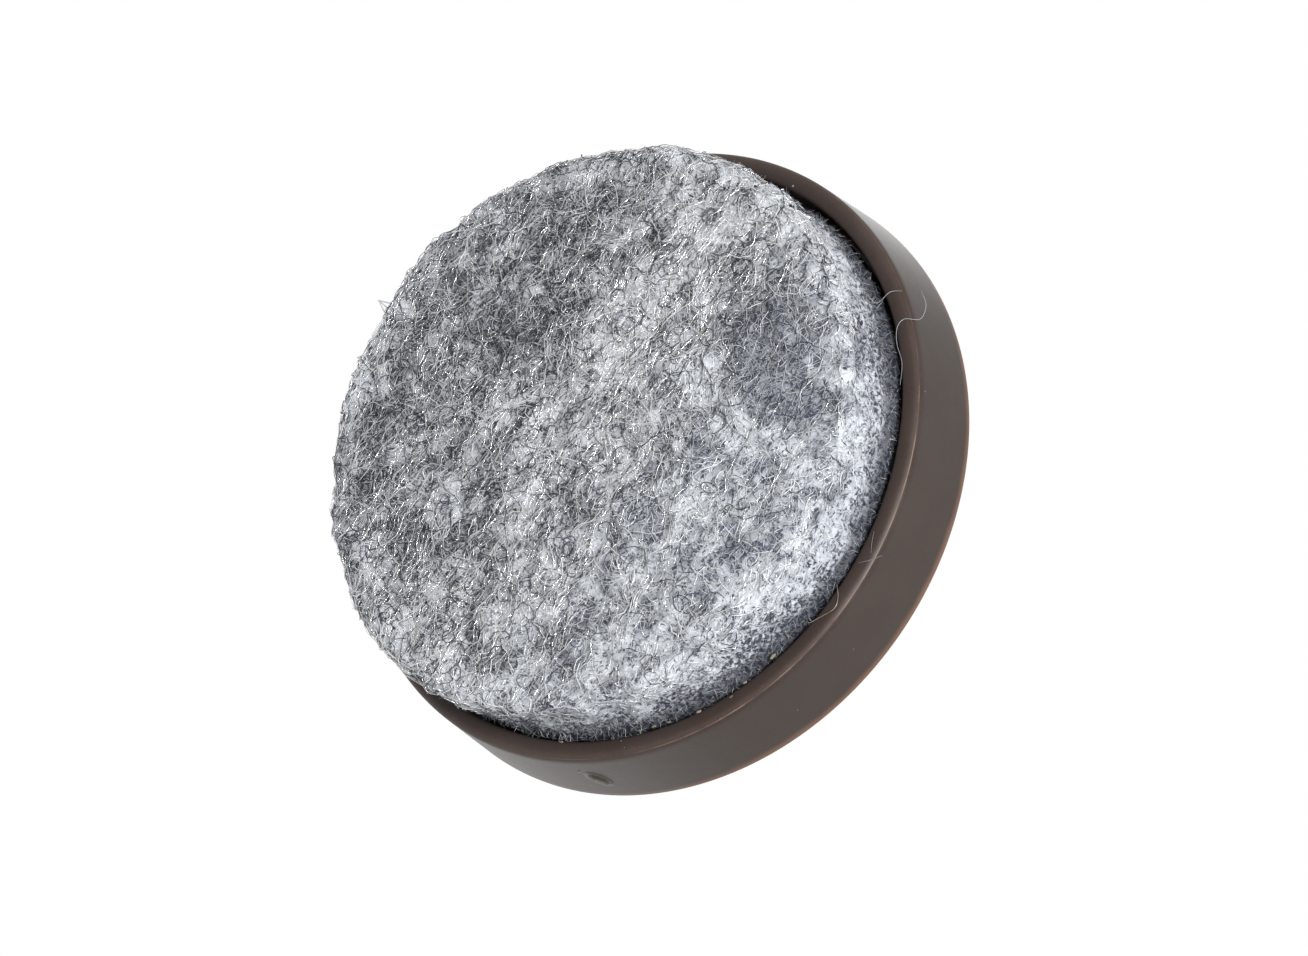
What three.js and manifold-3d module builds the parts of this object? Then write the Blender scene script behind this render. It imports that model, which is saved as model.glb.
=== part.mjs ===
// A nail-on felt glide for the foot of a chair or table leg: a moulded plastic cup, a steel nail set
// through its floor, and a felt disc glued into its pocket and standing proud of its rim.
// Millimetres, +Z up. The glide stands on its felt with the nail pointing up, as it does under a leg.
// The origin is the centre of the felt's sole.
import * as THREE from "three";
import { mergeVertices } from "three/addons/utils/BufferGeometryUtils.js";
import Module from "manifold-3d";

const wasm = await Module();
wasm.setup();

// Moulded cup
const SEAT_DIAMETER = 28; // across the face that meets the leg
const WALL_DRAFT_DEG = 5; // the outside narrows from the seat to the rim
const RIM_WALL = 0.8; // wall between the outside and the pocket, at the rim
const POCKET_DEPTH = 1.9;
const POCKET_DRAFT_DEG = 1.5; // the pocket narrows towards its floor
const FLOOR_THICKNESS = 2.1;
const RIM_OUTER_ROUND = 0.3;
const RIM_INNER_ROUND = 0.15;
const SEAT_ROUND = 0.15;
const POCKET_FILLET = 0.25;
const GATE_LENGTH = 1.2; // oval pit where the sprue was sheared off, up and down the outside of the wall
const GATE_WIDTH = 0.78;
const GATE_DEPTH = 0.16;
const GATE_ANGLE_DEG = -31; // round from +X
const GATE_SLANT_DEG = 17; // the oval leans this far from upright

// Nail
const NAIL_REACH = 16; // from the seat to the tip
const SHANK_DIAMETER = 1.9;
const HEAD_DIAMETER = 5.2;
const HEAD_THICKNESS = 0.8;
const HEAD_ROUND = 0.2;
const POINT_LENGTH = 3;
const GRIP_COUNT = 5; // notches that the heading dies leave across two sides of the shank
const GRIP_PITCH = 0.85;
const GRIP_DEPTH = 0.12;
const GRIP_RADIUS = 0.3;
const HEAD_CLEARANCE = 0.1;
const SHANK_CLEARANCE = 0.05;

// Adhesive and felt
const ADHESIVE_THICKNESS = 0.3;
const ADHESIVE_CLEARANCE = 0.1;
const FELT_THICKNESS = 4.8;
const FELT_CLEARANCE = 0.25; // all round, to the pocket's mouth
const FELT_SPREAD = 0.12; // how much wider it swells where the cup no longer holds it
const FELT_SOLE_ROUND = 0.55;
const FELT_TOP_ROUND = 0.2;
const FELT_WAVE = 0.12; // how far the stamped edge wanders in and out
const FELT_SHIFT = 0.14; // the disc is set in by hand, a little off the cup's centre
const FELT_LEAN = 0.36; // and its sole is pushed over a little further
const FELT_SHIFT_ANGLE_DEG = 55;

const ROUND_SEGMENTS = 96;
const SHANK_SEGMENTS = 32;
const FILLET_STEPS = 4;

const tangent = (degrees) => Math.tan(THREE.MathUtils.degToRad(degrees));

// Levels, from the sole up
const feltTop = FELT_THICKNESS;
const pocketFloor = feltTop + ADHESIVE_THICKNESS;
const rimLevel = pocketFloor - POCKET_DEPTH;
const seatLevel = pocketFloor + FLOOR_THICKNESS;
const headShoulder = pocketFloor + HEAD_THICKNESS;
const nailTip = seatLevel + NAIL_REACH;

// Radii that neighbours share
const seatRadius = SEAT_DIAMETER / 2;
const rimRadius = seatRadius - (seatLevel - rimLevel) * tangent(WALL_DRAFT_DEG);
const pocketMouthRadius = rimRadius - RIM_WALL;
const pocketFloorRadius = pocketMouthRadius - POCKET_DEPTH * tangent(POCKET_DRAFT_DEG);
const feltRadius = pocketMouthRadius - FELT_CLEARANCE;
const shankRadius = SHANK_DIAMETER / 2;
const headRadius = HEAD_DIAMETER / 2;

// A point of a profile: distance from the axis, height, and the radius that rounds the corner.
const corner = (radius, height, round = 0) => ({ at: new THREE.Vector2(radius, height), round });

// The outline through the corners, with each rounded corner turned into a short arc.
function roundedProfile(corners, closed = false) {
  const points = [];
  corners.forEach(({ at, round }, i) => {
    const before = corners[(i + corners.length - 1) % corners.length].at;
    const after = corners[(i + 1) % corners.length].at;
    if (!round) {
      points.push(at.clone());
      return;
    }
    const inward = before.clone().sub(at).normalize();
    const outward = after.clone().sub(at).normalize();
    const halfAngle = Math.acos(THREE.MathUtils.clamp(inward.dot(outward), -1, 1)) / 2;
    const setback = round / Math.tan(halfAngle);
    const centre = inward.clone().add(outward).normalize();
    centre.multiplyScalar(round / Math.sin(halfAngle)).add(at);
    const start = inward.clone().multiplyScalar(setback).add(at).sub(centre);
    const end = outward.clone().multiplyScalar(setback).add(at).sub(centre);
    let sweep = end.angle() - start.angle();
    if (sweep > Math.PI) sweep -= 2 * Math.PI;
    if (sweep < -Math.PI) sweep += 2 * Math.PI;
    for (let step = 0; step <= FILLET_STEPS; step++) {
      const turned = start.clone().rotateAround(new THREE.Vector2(), (sweep * step) / FILLET_STEPS);
      points.push(turned.add(centre));
    }
  });
  if (closed) points.push(points[0].clone());
  return points;
}

// A profile turned about the Z axis.
function turned(corners, segments, closed = false) {
  const geometry = new THREE.LatheGeometry(roundedProfile(corners, closed), segments);
  return geometry.rotateX(Math.PI / 2);
}

// A closed geometry as a solid that can be cut and joined.
function solidOf(geometry) {
  const bare = new THREE.BufferGeometry();
  bare.setAttribute("position", geometry.getAttribute("position"));
  bare.setIndex(geometry.getIndex());
  const merged = mergeVertices(bare, 1e-4);
  const index = merged.getIndex().array;
  const triangles = [];
  for (let i = 0; i < index.length; i += 3) {
    const [a, b, c] = [index[i], index[i + 1], index[i + 2]];
    if (a !== b && b !== c && c !== a) triangles.push(a, b, c);
  }
  return new wasm.Manifold(
    new wasm.Mesh({
      numProp: 3,
      vertProperties: new Float32Array(merged.getAttribute("position").array),
      triVerts: new Uint32Array(triangles),
    }),
  );
}

// A solid's surface as a geometry.
function geometryOf(solid) {
  const { vertProperties, triVerts } = solid.getMesh();
  const geometry = new THREE.BufferGeometry();
  geometry.setAttribute("position", new THREE.BufferAttribute(vertProperties, 3));
  geometry.setIndex(new THREE.BufferAttribute(triVerts, 1));
  const facets = geometry.toNonIndexed();
  facets.computeVertexNormals();
  return facets;
}

function named(name, geometry, { color, roughness, metalness = 0 }) {
  const material = new THREE.MeshStandardMaterial({ color, roughness, metalness });
  const mesh = new THREE.Mesh(geometry, material);
  mesh.name = name;
  return mesh;
}

// Injection-moulded cup: a flat seat, a floor with the nail's hole and the counterbore for its head,
// and a drafted wall round the felt's pocket.
function cup() {
  const body = turned(
    [
      corner(shankRadius + SHANK_CLEARANCE, headShoulder),
      corner(headRadius + HEAD_CLEARANCE, headShoulder),
      corner(headRadius + HEAD_CLEARANCE, pocketFloor),
      corner(pocketFloorRadius, pocketFloor, POCKET_FILLET),
      corner(pocketMouthRadius, rimLevel, RIM_INNER_ROUND),
      corner(rimRadius, rimLevel, RIM_OUTER_ROUND),
      corner(seatRadius, seatLevel, SEAT_ROUND),
      corner(shankRadius + SHANK_CLEARANCE, seatLevel),
    ],
    ROUND_SEGMENTS,
    true,
  );
  return named("cup", geometryOf(solidOf(body).subtract(gatePit())), {
    color: 0x4a3d38,
    roughness: 0.42,
  });
}

// The sheared gate leaves an oval pit halfway up the outside of the wall.
function gatePit() {
  const pit = new THREE.SphereGeometry(1, 20, 12);
  pit.scale(GATE_DEPTH, GATE_WIDTH / 2, GATE_LENGTH / 2);
  pit.rotateX(THREE.MathUtils.degToRad(GATE_SLANT_DEG));
  pit.translate((rimRadius + seatRadius) / 2, 0, (rimLevel + seatLevel) / 2);
  pit.rotateZ(THREE.MathUtils.degToRad(GATE_ANGLE_DEG));
  return solidOf(pit);
}

// Wire nail: a flat head seated in the cup's counterbore, notches below it, and a four-sided point.
function nail() {
  const blank = turned(
    [
      corner(0, pocketFloor),
      corner(headRadius, pocketFloor, HEAD_ROUND),
      corner(headRadius, headShoulder),
      corner(shankRadius, headShoulder),
      corner(shankRadius, nailTip),
      corner(0, nailTip),
    ],
    SHANK_SEGMENTS,
  );
  let wire = solidOf(blank).intersect(pointCutter());
  for (let i = 0; i < GRIP_COUNT; i++) {
    const height = headShoulder + GRIP_PITCH * (i + 1);
    for (const side of [-1, 1]) wire = wire.subtract(gripNotch(side, height));
  }
  return named("nail", geometryOf(wire), { color: 0xb4b2ad, roughness: 0.32, metalness: 1 });
}

// A long four-sided pyramid with its apex at the tip: what lies outside it is pinched off.
function pointCutter() {
  const height = nailTip - pocketFloor + 1;
  const flatDistance = (height * shankRadius) / POINT_LENGTH;
  const pyramid = new THREE.ConeGeometry(flatDistance * Math.SQRT2, height, 4);
  pyramid.rotateX(Math.PI / 2);
  pyramid.rotateZ(Math.PI / 4);
  pyramid.translate(0, 0, nailTip - height / 2);
  return solidOf(pyramid);
}

function gripNotch(side, height) {
  const roller = new THREE.CylinderGeometry(GRIP_RADIUS, GRIP_RADIUS, SHANK_DIAMETER * 2, 12);
  roller.translate(side * (shankRadius + GRIP_RADIUS - GRIP_DEPTH), 0, height);
  return solidOf(roller);
}

// The set layer of hot-melt adhesive between the pocket's floor and the felt, over the nail's head.
function adhesiveLayer() {
  const radius = pocketFloorRadius - POCKET_FILLET - ADHESIVE_CLEARANCE;
  const layer = turned(
    [corner(0, feltTop), corner(radius, feltTop), corner(radius, pocketFloor), corner(0, pocketFloor)],
    ROUND_SEGMENTS,
  );
  return named("adhesive_layer", layer, { color: 0xc9b98e, roughness: 0.5 });
}

// Stamped disc of needled felt. Its sole is flat and the edge that meets the floor is rubbed round.
// Below the rim it swells, leans over, and its cut side wanders a little, as soft felt does.
function feltPad() {
  const disc = turned(
    [
      corner(0, 0),
      corner(feltRadius + FELT_SPREAD, 0, FELT_SOLE_ROUND),
      corner(feltRadius + FELT_SPREAD, rimLevel / 2, FELT_SOLE_ROUND),
      corner(feltRadius, rimLevel),
      corner(pocketFloorRadius - FELT_CLEARANCE, feltTop, FELT_TOP_ROUND),
      corner(0, feltTop),
    ],
    ROUND_SEGMENTS,
  );
  const position = disc.getAttribute("position");
  const point = new THREE.Vector3();
  const shiftAngle = THREE.MathUtils.degToRad(FELT_SHIFT_ANGLE_DEG);
  for (let i = 0; i < position.count; i++) {
    point.fromBufferAttribute(position, i);
    const around = Math.atan2(point.y, point.x);
    const share = Math.hypot(point.x, point.y) / feltRadius;
    const below = THREE.MathUtils.smoothstep(rimLevel - point.z, 0, rimLevel);
    const wander = feltWander(around) * below * share;
    const shift = FELT_SHIFT + FELT_LEAN * below;
    point.x += wander * Math.cos(around) + shift * Math.cos(shiftAngle);
    point.y += wander * Math.sin(around) + shift * Math.sin(shiftAngle);
    position.setXYZ(i, point.x, point.y, point.z);
  }
  disc.computeVertexNormals();
  return named("felt_pad", disc, { color: 0x9b9fa2, roughness: 1 });
}

// How far the felt's edge stands out or in at an angle, never more than FELT_WAVE.
function feltWander(around) {
  const slow = Math.sin(3 * around + 0.6) * 0.45;
  const middling = Math.sin(7 * around + 2.1) * 0.3;
  const quick = Math.sin(16 * around + 4.0) * 0.25;
  return FELT_WAVE * (slow + middling + quick);
}

const glide = new THREE.Group();
glide.name = "nail_on_felt_glide";
glide.add(cup(), nail(), adhesiveLayer(), feltPad());

export default glide;
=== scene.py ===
"""The nail-on felt glide, dressed: cup, nail, adhesive, felt, and the studio that it is seen in.

Blender's unit is the metre. The sizes below are written in millimetres, and MM turns them into metres.
The glide stands on its felt at z = 0, with the nail pointing up.
"""

import math

import bpy
import numpy as np
from mathutils import Matrix, Vector, noise


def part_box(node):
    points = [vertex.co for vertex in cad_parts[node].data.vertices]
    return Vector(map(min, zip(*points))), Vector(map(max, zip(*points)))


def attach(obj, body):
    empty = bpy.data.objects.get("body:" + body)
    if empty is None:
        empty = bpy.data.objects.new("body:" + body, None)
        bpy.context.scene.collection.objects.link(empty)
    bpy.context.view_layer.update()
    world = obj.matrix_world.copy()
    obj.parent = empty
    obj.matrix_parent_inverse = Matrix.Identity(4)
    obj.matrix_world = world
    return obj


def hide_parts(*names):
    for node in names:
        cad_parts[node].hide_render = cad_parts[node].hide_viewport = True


MM = 0.001

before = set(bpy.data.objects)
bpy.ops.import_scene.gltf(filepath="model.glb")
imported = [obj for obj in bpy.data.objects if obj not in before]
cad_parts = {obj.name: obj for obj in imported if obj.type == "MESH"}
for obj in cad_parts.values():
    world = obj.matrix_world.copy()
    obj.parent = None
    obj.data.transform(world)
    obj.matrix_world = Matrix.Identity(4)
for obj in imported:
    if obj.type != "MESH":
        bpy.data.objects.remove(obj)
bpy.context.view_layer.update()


# The cup
# Injection-moulded in dark brown plastic, in one shot through a gate in the side of its wall. It has a flat
# back, a drafted wall with a satin finish, and a shallow pocket for the felt. Everything else is fixed in it.

SEAT_RADIUS = 14.0
WALL_DRAFT = math.radians(5)
RIM_WALL = 0.8
POCKET_DEPTH = 1.9
POCKET_DRAFT = math.radians(1.5)
RIM_OUTER_ROUND = 0.3
RIM_INNER_ROUND = 0.15
SEAT_ROUND = 0.15
POCKET_FILLET = 0.25
NAIL_HOLE_RADIUS = 1.0
NAIL_HOLE_ROUND = 0.12
COUNTERBORE_RADIUS = 2.7
COUNTERBORE_DEPTH = 0.8
COUNTERBORE_ROUND = 0.08
CUP_AROUND = 224
GATE_FINE_REACH = 1.8  # the turned mesh is finer this far round the mark's middle, in half widths
GATE_AROUND = 41
GATE_ROWS = 33
GATE_ANGLE = math.radians(-31)
GATE_SLANT = math.radians(17)
GATE_HALF_LENGTH = 0.54
GATE_HALF_WIDTH = 0.36
GATE_DEPTH = 0.13
GATE_LIP = 0.05
GATE_TORN_SHARE = 0.55
GATE_REACH = 1.6  # the wall is moved this far round the mark's middle, in half lengths and half widths
WEAR_HIGHLIGHT_ANGLE = math.radians(-90)
WEAR_HIGHLIGHT_REACH = (8.5, 12.5)  # the rubbed line and its painted highlight grow between these distances toward the angle above
LEVEL = (1.0, 1.0, 0.0)  # keeps the level part of a place

DARK_BROWN = (0.034, 0.019, 0.014, 1)
WARM_BROWN = (0.046, 0.029, 0.023, 1)
GRAIN_BROWN = (0.084, 0.040, 0.029, 1)
WALL_BROWN = (0.056, 0.046, 0.040, 1)
FELT_SHADOW_BROWN = (0.014, 0.007, 0.005, 1)
EDGE_GLOW_RED = (0.200, 0.108, 0.070, 1)
WORN_HIGHLIGHT_TAN = (0.23, 0.165, 0.13, 1)
TORN_GREY = (0.27, 0.24, 0.22, 1)
DUST_GREY = (0.42, 0.40, 0.37, 1)

rim_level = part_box("cup")[0].z / MM
seat_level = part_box("cup")[1].z / MM
pocket_floor = rim_level + POCKET_DEPTH
rim_radius = SEAT_RADIUS - (seat_level - rim_level) * math.tan(WALL_DRAFT)
mouth_radius = rim_radius - RIM_WALL
floor_radius = mouth_radius - POCKET_DEPTH * math.tan(POCKET_DRAFT)


def rounded_profile(corners, arc_steps=8, support=0.03):
    """Closed (radius, height) outline in which each corner (radius, height, round) becomes a short arc."""
    points = []
    for i, (radius, height, fillet) in enumerate(corners):
        at = Vector((radius, height))
        if fillet == 0:
            points.append(at)
            continue
        back = (Vector(corners[i - 1][:2]) - at).normalized()
        on = (Vector(corners[(i + 1) % len(corners)][:2]) - at).normalized()
        half_angle = back.angle(on) / 2
        setback = fillet / math.tan(half_angle)
        centre = at + (back + on).normalized() * fillet / math.sin(half_angle)
        start = at + back * setback - centre
        turn = start.angle_signed(at + on * setback - centre)
        points.append(at + back * (setback + support))
        for step in range(arc_steps + 1):
            angle = -turn * step / arc_steps
            points.append(centre + Matrix.Rotation(angle, 2) @ start)
        points.append(at + on * (setback + support))
    return np.array([tuple(p) for p in points])


def turned_mesh(name, profile, angles):
    """A closed profile in millimetres turned through the angles, as a mesh in metres."""
    count, around = len(profile), len(angles)
    radius, height = profile[:, 0][:, None], profile[:, 1][:, None]
    x, y = radius * np.cos(angles), radius * np.sin(angles)
    z = np.broadcast_to(height, x.shape)
    vertices = np.stack([x, y, z], axis=-1).reshape(-1, 3)
    index = np.arange(count * around).reshape(count, around)
    across, along = np.roll(index, -1, axis=0), np.roll(index, -1, axis=1)
    corner = np.roll(across, -1, axis=1)
    faces = np.stack([index, along, corner, across], axis=-1).reshape(-1, 4)
    return mesh_from(name, vertices, faces)


def mesh_from(name, vertices, faces):
    """A smooth-shaded mesh, in metres, of vertices in millimetres."""
    mesh = bpy.data.meshes.new(name)
    mesh.from_pydata((np.asarray(vertices) * MM).tolist(), [], [list(map(int, f)) for f in faces])
    mesh.shade_smooth()
    return mesh


def outward(mesh):
    """Turns the faces outward if they enclose a negative volume."""
    points = np.array([v.co for v in mesh.vertices])
    mesh.calc_loop_triangles()
    a, b, c = (points[[t.vertices[k] for t in mesh.loop_triangles]] for k in range(3))
    if np.einsum("ij,ij->i", a, np.cross(b, c)).sum() < 0:
        mesh.flip_normals()
    return mesh


def in_scene(name, data):
    """A new object in the scene."""
    made = bpy.data.objects.new(name, data)
    bpy.context.scene.collection.objects.link(made)
    return made


def piece(name, mesh, material, replaced=None):
    """A finished piece at the origin, riding on the glide's one body."""
    made = in_scene(name, mesh)
    mesh.materials.clear()
    mesh.materials.append(material)
    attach(made, "root")
    if replaced:
        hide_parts(replaced)
    return made


class Graph:
    """Wires up a node tree. An input is a number, a colour, or the socket that feeds it."""

    def __init__(self, tree):
        self.tree = tree

    def add(self, kind, inputs=None, **settings):
        node = self.tree.nodes.new(kind)
        for name, value in settings.items():
            setattr(node, name, value)
        return self.feed(node, inputs or {})

    def feed(self, node, inputs):
        """Sets or links the node's inputs, and returns the node."""
        for key, value in inputs.items():
            socket = self.socket(node.inputs, key)
            if isinstance(value, bpy.types.NodeSocket):
                self.tree.links.new(value, socket)
            else:
                socket.default_value = value
        return node

    @staticmethod
    def socket(sockets, key):
        """The socket with that identifier, or else the first with that name."""
        return next((s for s in sockets if s.identifier == key), None) or sockets[key]

    def geometry(self, kind, inputs=None, **settings):
        """The first output of a new Geometry Nodes node."""
        return self.add("GeometryNode" + kind, inputs, **settings).outputs[0]

    def maths(self, operation, *values):
        keys = ("Value", "Value_001", "Value_002")
        return self.add("ShaderNodeMath", dict(zip(keys, values)), operation=operation).outputs[0]

    def times(self, first, second):
        return self.maths("MULTIPLY", first, second)

    def plus(self, first, second):
        return self.maths("ADD", first, second)

    def minus(self, first, second):
        return self.maths("SUBTRACT", first, second)

    def times_plus(self, first, second, added):
        return self.maths("MULTIPLY_ADD", first, second, added)

    def vector(self, operation, *values):
        keys = ("Vector", "Vector_001", "Vector_002")
        node = self.add("ShaderNodeVectorMath", dict(zip(keys, values)), operation=operation)
        scalar = operation in ("LENGTH", "DISTANCE", "DOT_PRODUCT")
        return node.outputs["Value" if scalar else "Vector"]

    def scaled(self, value, factor):
        inputs = {"Vector": value, "Scale": factor}
        return self.add("ShaderNodeVectorMath", inputs, operation="SCALE").outputs["Vector"]

    def combined(self, x, y=0.0, z=0.0):
        return self.add("ShaderNodeCombineXYZ", {"X": x, "Y": y, "Z": z}).outputs["Vector"]

    def coordinate(self, place, name):
        return self.add("ShaderNodeSeparateXYZ", {"Vector": place}).outputs[name]

    def attribute(self, name):
        return self.add("ShaderNodeAttribute", attribute_name=name).outputs["Fac"]

    def noise(self, place, scale, detail=2.0, distortion=0.0):
        inputs = {"Vector": place, "Scale": scale, "Detail": detail, "Distortion": distortion}
        return self.add("ShaderNodeTexNoise", inputs).outputs["Fac"]

    def remap(self, value, low, high, to_low=0.0, to_high=1.0, smooth=True):
        inputs = {"Value": value, "From Min": low, "From Max": high, "To Min": to_low, "To Max": to_high}
        kind = "SMOOTHSTEP" if smooth else "LINEAR"
        return self.add("ShaderNodeMapRange", inputs, interpolation_type=kind).outputs["Result"]

    def blend(self, factor, first, second):
        inputs = {"Factor_Float": factor, "A_Color": first, "B_Color": second}
        node = self.add("ShaderNodeMix", inputs, data_type="RGBA")
        return self.socket(node.outputs, "Result_Color")

    def bump(self, height, distance, strength=1.0, normal=None):
        inputs = {"Height": height, "Distance": distance * MM, "Strength": strength}
        if normal:
            inputs["Normal"] = normal
        return self.add("ShaderNodeBump", inputs).outputs["Normal"]


def new_material(name):
    """A material with its graph, its Principled shader, and object coordinates in millimetres."""
    material = bpy.data.materials.new(name)
    material.use_nodes = True
    graph = Graph(material.node_tree)
    shader = material.node_tree.nodes["Principled BSDF"]
    coordinates = graph.add("ShaderNodeTexCoord").outputs["Object"]
    return material, graph, shader, graph.scaled(coordinates, 1 / MM)


def cup_plastic():
    """Satin brown plastic with mould grain and dust; painted light too: a highlight on the rubbed rim corner,
    the thin edge's red glow and the felt's shadow on the rim.
    """
    material, graph, shader, place = new_material("cup_plastic")
    height = graph.coordinate(place, "Z")
    from_axis = graph.vector("LENGTH", graph.vector("MULTIPLY", place, LEVEL))
    mottle = graph.noise(place, 0.5, 4)
    grain = graph.noise(place, 9.0, 3)
    brown = graph.blend(graph.remap(mottle, 0.3, 0.7), DARK_BROWN, WARM_BROWN)
    brown = graph.blend(graph.remap(grain, 0.45, 0.75, 0.0, 0.4), brown, GRAIN_BROWN)
    on_wall = graph.remap(height, rim_level + 0.1, rim_level + 0.5, 0.0, 0.6)
    brown = graph.blend(on_wall, brown, WALL_BROWN)

    # Painted shadow: the rim darkens toward the mouth, where the felt's overhang shades it, and is rougher
    # there too.
    by_mouth = graph.remap(from_axis, mouth_radius + 0.05, mouth_radius + 0.75, 0.75, 0.0)
    on_rim = graph.remap(height, rim_level + 0.2, rim_level + 0.3, 1.0, 0.0)
    felt_shadow = graph.times(by_mouth, on_rim)
    brown = graph.blend(felt_shadow, brown, FELT_SHADOW_BROWN)

    # Painted glow: the seat's thin edge is reddened for light shining through the thin plastic.
    wander = graph.times_plus(mottle, 0.25, height)
    edge_glow = graph.remap(wander, seat_level - 0.40, seat_level + 0.02, 0.0, 0.85)
    at_edge = graph.remap(from_axis, SEAT_RADIUS - 0.55, SEAT_RADIUS - 0.1)
    edge_glow = graph.times(edge_glow, at_edge)
    brown = graph.blend(edge_glow, brown, EDGE_GLOW_RED)

    # The rubbed line on the rim's corner is also a painted highlight, paler toward the side the light comes
    # from.
    corner = rim_level + RIM_OUTER_ROUND * (1 - math.cos(math.radians(50)))
    off_corner = graph.maths("ABSOLUTE", graph.minus(height, corner))
    scuffed_highlight = graph.remap(graph.noise(place, 0.8, 6), 0.36, 0.62, 0.1, 0.8)
    toward_highlight = graph.vector("DOT_PRODUCT", place, (math.cos(WEAR_HIGHLIGHT_ANGLE), math.sin(WEAR_HIGHLIGHT_ANGLE), 0.0))
    scuffed_highlight = graph.times(scuffed_highlight, graph.remap(toward_highlight, *WEAR_HIGHLIGHT_REACH, 0.3, 1.0))
    worn_highlight = graph.times(graph.remap(off_corner, 0.0, 0.03, 1.0, 0.0), scuffed_highlight)
    brown = graph.blend(worn_highlight, brown, WORN_HIGHLIGHT_TAN)

    brown = graph.blend(graph.attribute("torn"), brown, TORN_GREY)

    specks = graph.add("ShaderNodeTexVoronoi", {"Vector": place, "Scale": 0.55})
    cell = graph.add("ShaderNodeSeparateColor", {"Color": specks.outputs["Color"]})
    size = graph.remap(cell.outputs["Red"], 0.55, 1.0, 0.0, 0.05, smooth=False)
    dust = graph.maths("LESS_THAN", specks.outputs["Distance"], size)
    dusty = graph.blend(graph.times(dust, 0.5), brown, DUST_GREY)

    waviness = graph.noise(place, 1.3, 2)
    normal = graph.bump(grain, 0.010, 0.5)
    normal = graph.bump(waviness, 0.03, 0.35, normal)
    rough = graph.remap(height, rim_level + 0.2, rim_level + 0.6, 0.56, 0.38)
    rough = graph.times_plus(felt_shadow, 0.3, rough)
    rough = graph.times_plus(grain, 0.1, graph.minus(rough, 0.05))
    graph.feed(shader, {
        "Base Color": dusty, "Normal": normal, "Roughness": rough, "Specular IOR Level": 0.5,
    })
    return material


def cup_angles():
    """Angles round the cup, closer together where the gate mark is."""
    gate_half_angle = GATE_FINE_REACH * GATE_HALF_WIDTH / SEAT_RADIUS
    coarse = np.linspace(-math.pi, math.pi, CUP_AROUND + 1)[:-1]
    coarse = coarse[np.abs(coarse - GATE_ANGLE) > gate_half_angle]
    fine = np.linspace(GATE_ANGLE - gate_half_angle, GATE_ANGLE + gate_half_angle, GATE_AROUND)
    return np.sort(np.concatenate([coarse, fine]))


def cup_profile():
    """The cup's section. Extra rows cross the wall where the gate mark is."""
    wall_middle = (rim_level + seat_level) / 2
    wall_slope = math.tan(WALL_DRAFT)
    reach = GATE_REACH * GATE_HALF_LENGTH
    rows = np.linspace(wall_middle - reach, wall_middle + reach, GATE_ROWS)
    rows = np.concatenate([[wall_middle - reach - 0.3], rows, [wall_middle + reach + 0.3]])
    wall = [(rim_radius + (z - rim_level) * wall_slope, z, 0) for z in rows]
    return rounded_profile([
        (NAIL_HOLE_RADIUS, pocket_floor + COUNTERBORE_DEPTH, 0),
        (COUNTERBORE_RADIUS, pocket_floor + COUNTERBORE_DEPTH, 0),
        (COUNTERBORE_RADIUS, pocket_floor, COUNTERBORE_ROUND),
        (floor_radius, pocket_floor, POCKET_FILLET),
        (mouth_radius, rim_level, RIM_INNER_ROUND),
        (rim_radius, rim_level, RIM_OUTER_ROUND),
        *wall,
        (SEAT_RADIUS, seat_level, SEAT_ROUND),
        (NAIL_HOLE_RADIUS, seat_level, NAIL_HOLE_ROUND),
    ])


def press_gate_mark(mesh):
    """Sinks the sheared gate's oval pit into the wall, with a raised lip that is torn pale on one side."""
    wall_middle = (rim_level + seat_level) / 2
    torn_share = mesh.attributes.new("torn", "FLOAT", "POINT")
    for vertex in mesh.vertices:
        x, y, z = vertex.co / MM
        radius = math.hypot(x, y)
        if radius < rim_radius - 0.1:
            continue
        across, up = radius * (math.atan2(y, x) - GATE_ANGLE), z - wall_middle
        long_way = up * math.cos(GATE_SLANT) - across * math.sin(GATE_SLANT)
        short_way = across * math.cos(GATE_SLANT) + up * math.sin(GATE_SLANT)
        far = math.hypot(long_way / GATE_HALF_LENGTH, short_way / GATE_HALF_WIDTH)
        if far > GATE_REACH:
            continue
        ragged = 1 + 0.4 * noise.noise(Vector((x, y, z)) * 5)
        pit = -GATE_DEPTH * math.sqrt(max(0.0, 1 - far * far)) * ragged
        lip = math.exp(-((far - 1.1) / 0.2) ** 2) * ragged
        vertex.co.x += (pit + GATE_LIP * lip) * x / radius * MM
        vertex.co.y += (pit + GATE_LIP * lip) * y / radius * MM
        one_side = min(1.0, max(0.0, 0.35 + short_way / GATE_HALF_WIDTH))
        torn_share.data[vertex.index].value = GATE_TORN_SHARE * lip * one_side


cup_mesh = outward(turned_mesh("cup_moulding", cup_profile(), cup_angles()))
press_gate_mark(cup_mesh)
piece("cup_moulding", cup_mesh, cup_plastic(), "cup")


# The nail
# A bright drawn-wire nail. Its flat head is cold-headed, the heading dies leave grip notches on two sides of
# the shank, and the four-sided point is pinched. It is pressed through the cup's floor, head in the pocket.

SHANK_RADIUS = 0.95
HEAD_RADIUS = 2.6
HEAD_THICKNESS = 0.8
HEAD_ROUND = 0.2
POINT_LENGTH = 3.0
POINT_TIP = 0.06
GRIP_COUNT = 5
GRIP_PITCH = 0.85
GRIP_DEPTH = 0.12
GRIP_HALF_HEIGHT = 0.24
NAIL_AROUND = 72
DULL_STEEL = (0.52, 0.51, 0.50, 1)
BRIGHT_STEEL = (0.66, 0.65, 0.63, 1)
OILED_STEEL = (0.38, 0.36, 0.34, 1)

nail_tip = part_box("nail")[1].z / MM
head_shoulder = pocket_floor + HEAD_THICKNESS


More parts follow.
